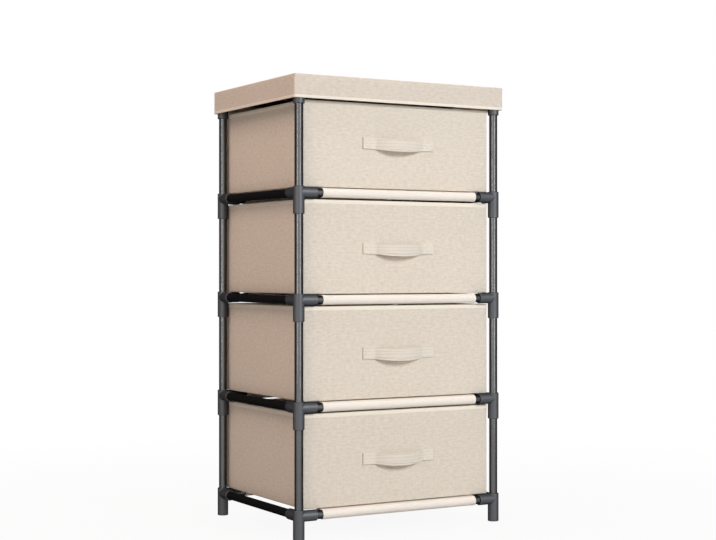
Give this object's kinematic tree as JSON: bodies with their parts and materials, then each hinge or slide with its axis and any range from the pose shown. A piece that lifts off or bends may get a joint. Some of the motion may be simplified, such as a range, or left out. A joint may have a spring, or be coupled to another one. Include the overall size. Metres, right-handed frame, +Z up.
{
  "type": "fabric drawer dresser",
  "caption": "Upright dresser of push-fit black tube and grey corner connectors, with beige cloth drawers on sewn cloth shelves, strap handles and a cloth-covered top board.",
  "frame": {"origin": "on the floor, at the bottom centre of the whole outline with the drawers shut", "axes": "+X to the user's right facing the drawer fronts, +Y from the fronts to the back, +Z up"},
  "size_m": [0.467, 0.361, 0.8623],
  "materials": {
    "tube_paint": "gloss black paint",
    "connector_plastic": "satin dark grey moulding",
    "shelf_cloth": "matt woven cloth",
    "cover_cloth": "matt linen weave",
    "drawer_cloth": "matt linen weave",
    "binding_cloth": "matt woven tape",
    "strap_webbing": "matt woven strap",
    "fibreboard": "plain fibreboard",
    "greyboard": "plain greyboard"
  },
  "bodies": {
    "frame": {"front_rail_top": "tube_paint", "rear_rail_top": "tube_paint", "side_rails_top": "tube_paint", "top_corner_connectors": "connector_plastic", "front_rail_1": "tube_paint", "rear_rail_1": "tube_paint", "side_rails_1": "tube_paint", "post_tubes_1": "tube_paint", "shelf_panel_1": "shelf_cloth", "tee_connectors_1": "connector_plastic", "front_rail_2": "tube_paint", "rear_rail_2": "tube_paint", "side_rails_2": "tube_paint", "post_tubes_2": "tube_paint", "shelf_panel_2": "shelf_cloth", "tee_connectors_2": "connector_plastic", "front_rail_3": "tube_paint", "rear_rail_3": "tube_paint", "side_rails_3": "tube_paint", "post_tubes_3": "tube_paint", "shelf_panel_3": "shelf_cloth", "tee_connectors_3": "connector_plastic", "front_rail_4": "tube_paint", "rear_rail_4": "tube_paint", "side_rails_4": "tube_paint", "post_tubes_4": "tube_paint", "shelf_panel_4": "shelf_cloth", "foot_connectors": "connector_plastic", "top_board": "fibreboard", "top_cover": "cover_cloth"},
    "drawer_1": {"drawer_1_shell": "drawer_cloth", "drawer_1_end_boards": "greyboard", "drawer_1_side_boards": "greyboard", "drawer_1_base_board": "greyboard", "drawer_1_rim_binding": "binding_cloth", "drawer_1_handle_strap": "strap_webbing"},
    "drawer_2": {"drawer_2_shell": "drawer_cloth", "drawer_2_end_boards": "greyboard", "drawer_2_side_boards": "greyboard", "drawer_2_base_board": "greyboard", "drawer_2_rim_binding": "binding_cloth", "drawer_2_handle_strap": "strap_webbing"},
    "drawer_3": {"drawer_3_shell": "drawer_cloth", "drawer_3_end_boards": "greyboard", "drawer_3_side_boards": "greyboard", "drawer_3_base_board": "greyboard", "drawer_3_rim_binding": "binding_cloth", "drawer_3_handle_strap": "strap_webbing"},
    "drawer_4": {"drawer_4_shell": "drawer_cloth", "drawer_4_end_boards": "greyboard", "drawer_4_side_boards": "greyboard", "drawer_4_base_board": "greyboard", "drawer_4_rim_binding": "binding_cloth", "drawer_4_handle_strap": "strap_webbing"}
  },
  "joints": [
    {"name": "drawer_1_slide", "type": "slide", "parent": "frame", "child": "drawer_1", "axis": [0, -1, 0], "range_m": [0, 0.27]},
    {"name": "drawer_2_slide", "type": "slide", "parent": "frame", "child": "drawer_2", "axis": [0, -1, 0], "range_m": [0, 0.27]},
    {"name": "drawer_3_slide", "type": "slide", "parent": "frame", "child": "drawer_3", "axis": [0, -1, 0], "range_m": [0, 0.27]},
    {"name": "drawer_4_slide", "type": "slide", "parent": "frame", "child": "drawer_4", "axis": [0, -1, 0], "range_m": [0, 0.27]}
  ]
}
